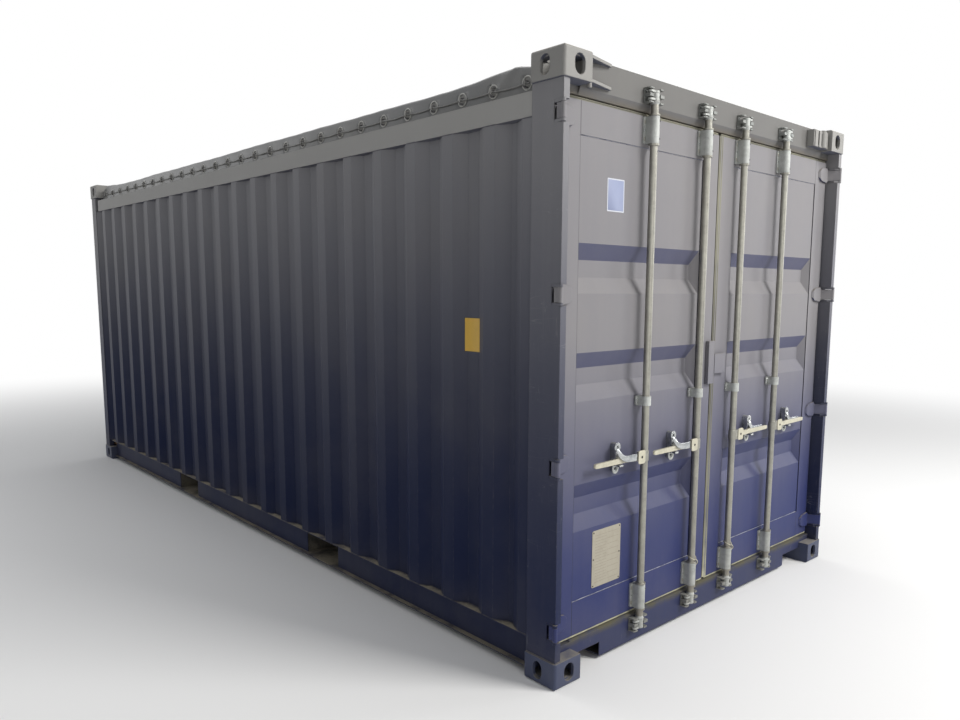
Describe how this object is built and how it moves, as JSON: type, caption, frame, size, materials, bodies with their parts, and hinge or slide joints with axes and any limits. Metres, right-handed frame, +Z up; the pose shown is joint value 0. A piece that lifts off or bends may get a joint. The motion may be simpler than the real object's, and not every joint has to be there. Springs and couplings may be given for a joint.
{
  "type": "open-top shipping container",
  "caption": "Steel open-top freight container with corrugated walls, hinged end doors with lock rods, and a laced tarpaulin roof.",
  "frame": {"origin": "centre of the footprint at ground level", "axes": "+Z up, +Y along the container away from the doors, +X to the right seen from the door end"},
  "size_m": [2.438, 6.058, 2.591],
  "materials": {
    "navy_paint": "satin dark blue paint with scratches, scuffs and a little rust at edges",
    "casting_paint": "dark blue paint on a rough cast surface, worn at the edges",
    "galvanised": "hot-dip galvanised, dull and mottled",
    "handle_zinc": "yellowish passivated zinc",
    "rubber_seal": "dusty black rubber",
    "plywood": "sealed container floor plywood",
    "underseal": "dull underbody coating with dust",
    "tarpaulin": "coated woven tarpaulin",
    "rope": "plastic-sheathed lashing rope"
  },
  "bodies": {
    "container": {"rear_corner_castings": "casting_paint", "front_bottom_castings": "casting_paint", "front_top_castings": "casting_paint", "rear_corner_posts": "navy_paint", "front_corner_posts": "navy_paint", "side_walls": "navy_paint", "front_wall": "navy_paint", "top_rails": "navy_paint", "bottom_rails": "navy_paint", "front_header": "navy_paint", "front_sill": "navy_paint", "door_sill": "navy_paint", "door_header": "navy_paint", "header_hinges": "navy_paint", "cam_keepers": "galvanised", "cam_guards": "galvanised", "floor_boards": "plywood", "cross_members": "underseal", "fork_pockets": "underseal", "roof_bows": "galvanised", "tarpaulin": "tarpaulin", "tarpaulin_flaps": "tarpaulin", "rope_loops": "galvanised", "tarpaulin_rope": "rope"},
    "left_door": {"left_door_frame": "navy_paint", "left_door_panel": "navy_paint", "left_door_seal": "rubber_seal", "left_door_hinges": "navy_paint", "left_rod_brackets": "galvanised", "left_handle_retainers": "galvanised", "left_customs_block": "navy_paint"},
    "right_door": {"right_door_frame": "navy_paint", "right_door_panel": "navy_paint", "right_door_seal": "rubber_seal", "right_door_hinges": "navy_paint", "right_rod_brackets": "galvanised", "right_handle_retainers": "galvanised", "right_customs_plate": "navy_paint"},
    "left_outer_lock_rod": {"left_outer_rod": "galvanised", "left_outer_cams": "galvanised"},
    "left_outer_lock_handle": {"left_outer_handle": "handle_zinc"},
    "left_inner_lock_rod": {"left_inner_rod": "galvanised", "left_inner_cams": "galvanised"},
    "left_inner_lock_handle": {"left_inner_handle": "handle_zinc"},
    "right_inner_lock_rod": {"right_inner_rod": "galvanised", "right_inner_cams": "galvanised"},
    "right_inner_lock_handle": {"right_inner_handle": "handle_zinc"},
    "right_outer_lock_rod": {"right_outer_rod": "galvanised", "right_outer_cams": "galvanised"},
    "right_outer_lock_handle": {"right_outer_handle": "handle_zinc"}
  },
  "joints": [
    {"name": "left_door_swing", "type": "hinge", "parent": "container", "child": "left_door", "pos_m": [-1.208, -3.018, 1.3], "axis": [0, 0, -1], "range_deg": [0, 270]},
    {"name": "right_door_swing", "type": "hinge", "parent": "container", "child": "right_door", "pos_m": [1.208, -3.018, 1.3], "axis": [0, 0, 1], "range_deg": [0, 270]},
    {"name": "left_outer_rod_turn", "type": "hinge", "parent": "left_door", "child": "left_outer_lock_rod", "pos_m": [-0.595, -2.991, 1.3], "axis": [0, 0, -1], "range_deg": [-100, 0]},
    {"name": "left_outer_handle_lift", "type": "hinge", "parent": "left_outer_lock_rod", "child": "left_outer_lock_handle", "pos_m": [-0.633, -2.9995, 0.915], "axis": [0, -1, 0], "range_deg": [-12, 0]},
    {"name": "left_inner_rod_turn", "type": "hinge", "parent": "left_door", "child": "left_inner_lock_rod", "pos_m": [-0.17, -2.991, 1.3], "axis": [0, 0, -1], "range_deg": [-100, 0]},
    {"name": "left_inner_handle_lift", "type": "hinge", "parent": "left_inner_lock_rod", "child": "left_inner_lock_handle", "pos_m": [-0.208, -2.9995, 0.915], "axis": [0, -1, 0], "range_deg": [-12, 0]},
    {"name": "right_inner_rod_turn", "type": "hinge", "parent": "right_door", "child": "right_inner_lock_rod", "pos_m": [0.17, -2.991, 1.3], "axis": [0, 0, 1], "range_deg": [-100, 0]},
    {"name": "right_inner_handle_lift", "type": "hinge", "parent": "right_inner_lock_rod", "child": "right_inner_lock_handle", "pos_m": [0.208, -2.9995, 0.915], "axis": [0, 1, 0], "range_deg": [-12, 0]},
    {"name": "right_outer_rod_turn", "type": "hinge", "parent": "right_door", "child": "right_outer_lock_rod", "pos_m": [0.595, -2.991, 1.3], "axis": [0, 0, 1], "range_deg": [-100, 0]},
    {"name": "right_outer_handle_lift", "type": "hinge", "parent": "right_outer_lock_rod", "child": "right_outer_lock_handle", "pos_m": [0.633, -2.9995, 0.915], "axis": [0, 1, 0], "range_deg": [-12, 0]}
  ]
}
